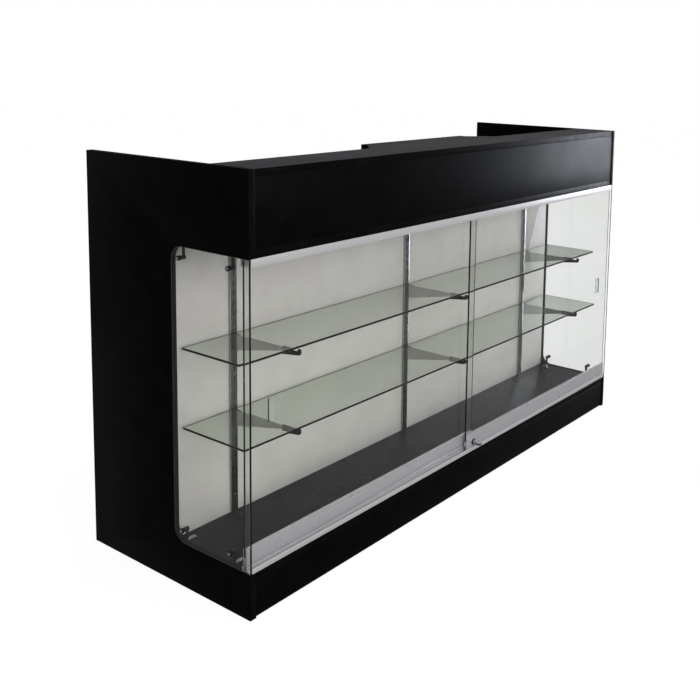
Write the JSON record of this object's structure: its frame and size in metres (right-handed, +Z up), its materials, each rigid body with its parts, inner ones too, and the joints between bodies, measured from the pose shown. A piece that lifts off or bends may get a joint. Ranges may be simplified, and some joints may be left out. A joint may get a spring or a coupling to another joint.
{
  "type": "glass display showcase",
  "caption": "Floor-standing display counter: a laminated carcass with a glazed front showcase behind sliding glass doors, glass shelves, a worktop and rear storage.",
  "frame": {"origin": "On the floor under the middle of the base: half the length between the end panels' outer faces, and half the depth of the end panels.", "axes": "The sliding doors and the fascia face -Y, +X is to the right seen from the front, +Z is up."},
  "size_m": [1.8354, 0.6357, 1.067],
  "materials": {
    "black_laminate": "black laminate on board, satin",
    "top_laminate": "dark laminate on board, satin",
    "grey_laminate": "dark laminate on board, satin",
    "back_laminate": "warm grey laminate on board, matt",
    "track_aluminium": "anodised, satin",
    "rail_aluminium": "anodised, satin",
    "door_glass": "clear float glass, ground edges",
    "end_glass": "clear float glass, ground edges",
    "shelf_glass": "float glass, green in its depth, ground edges",
    "nylon": "moulded nylon",
    "clear_plastic": "moulded, clear grey",
    "black_plastic": "moulded, satin",
    "black_rubber": "moulded, matt",
    "lock_chrome": "polished",
    "bright_standards": "bright plated strip",
    "zinc_brackets": "zinc plated strip, dull",
    "plated_steel": "plated"
  },
  "bodies": {
    "counter": {"left_end_panel": "black_laminate", "right_end_panel": "black_laminate", "deck_board": "grey_laminate", "base_front_panel": "black_laminate", "base_rear_panel": "black_laminate", "base_centre_rib": "black_laminate", "showcase_back_panel": "back_laminate", "header_board": "black_laminate", "fascia_panel": "black_laminate", "ledge_top": "top_laminate", "ledge_back_panel": "black_laminate", "worktop": "top_laminate", "rear_partition": "black_laminate", "rear_top_rail": "black_laminate", "left_storage_shelf": "black_laminate", "right_storage_shelf": "black_laminate", "shelf_pins": "plated_steel", "cam_discs": "plated_steel", "cam_bolts": "plated_steel", "lower_track": "track_aluminium", "upper_track": "track_aluminium", "left_end_glass": "end_glass", "right_end_glass": "end_glass", "left_glass_clips": "black_plastic", "right_glass_clips": "black_plastic", "left_clip_screws": "plated_steel", "right_clip_screws": "plated_steel", "clip_washers": "black_rubber", "standard_left": "bright_standards", "standard_centre": "bright_standards", "standard_right": "bright_standards", "standard_screws": "plated_steel", "bracket_upper_left": "zinc_brackets", "bracket_upper_centre": "zinc_brackets", "bracket_upper_right": "zinc_brackets", "bracket_lower_left": "zinc_brackets", "bracket_lower_centre": "zinc_brackets", "bracket_lower_right": "zinc_brackets", "bracket_cushions": "black_rubber", "upper_shelf_glass": "shelf_glass", "lower_shelf_glass": "shelf_glass"},
    "left_door": {"left_door_glass": "door_glass", "left_door_rail": "rail_aluminium", "left_door_glides": "nylon", "left_door_guides": "nylon", "left_finger_pull": "clear_plastic"},
    "right_door": {"right_door_glass": "door_glass", "right_door_rail": "rail_aluminium", "right_door_glides": "nylon", "right_door_guides": "nylon", "right_finger_pull": "clear_plastic", "lock_ring": "black_plastic", "lock_sleeve_body": "lock_chrome"},
    "plunger": {"lock_plunger": "lock_chrome"},
    "key_plug": {"lock_key_plug": "lock_chrome"}
  },
  "joints": [
    {"name": "left_door_slide", "type": "slide", "parent": "counter", "child": "left_door", "axis": [1, 0, 0], "range_m": [0, 0.883]},
    {"name": "right_door_slide", "type": "slide", "parent": "counter", "child": "right_door", "axis": [1, 0, 0], "range_m": [-0.883, 0]},
    {"name": "lock_push", "type": "slide", "parent": "right_door", "child": "plunger", "axis": [0, 1, 0], "range_m": [0, 0.009], "stiffness_N_per_m": 30, "springref_m": -0.004},
    {"name": "key_turn", "type": "hinge", "parent": "plunger", "child": "key_plug", "pos_m": [0.014, -0.325, 0.14], "axis": [0, 1, 0], "range_deg": [0, 90]}
  ]
}
